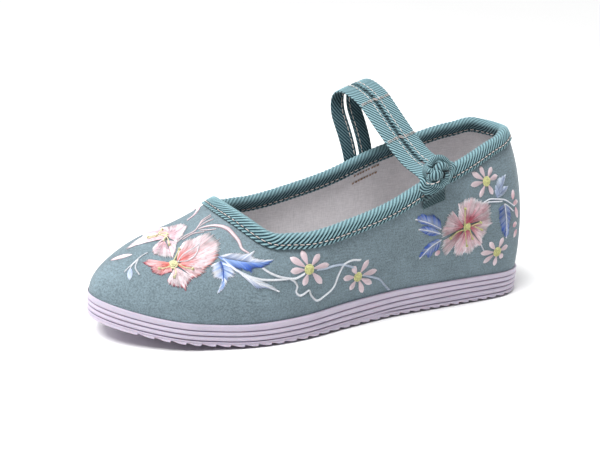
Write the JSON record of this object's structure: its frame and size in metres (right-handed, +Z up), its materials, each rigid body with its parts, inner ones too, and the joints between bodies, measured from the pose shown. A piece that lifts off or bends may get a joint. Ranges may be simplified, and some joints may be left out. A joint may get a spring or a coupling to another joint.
{
  "type": "embroidered cloth shoe",
  "caption": "Low women's cloth shoe for the left foot: soft upper with a long open collar, tape binding, looped ankle strap on a knotted button, ribbed moulded sole.",
  "frame": {"origin": "on the floor, under the middle of the whole shoe's bounding box", "axes": "+Y from heel to toe, +Z up from the floor, -X the outer (little toe) side where the button is"},
  "size_m": [0.0908, 0.25, 0.1123],
  "materials": {
    "sole": "matte",
    "upper": "matte",
    "insole": "matte",
    "collar_binding": "matte",
    "strap": "matte",
    "button_tails": "matte",
    "button_knot": "matte"
  },
  "bodies": {
    "root": {"sole": "sole", "upper": "upper", "insole": "insole", "collar_binding": "collar_binding", "strap": "strap", "button_tails": "button_tails", "button_knot": "button_knot"}
  },
  "joints": []
}
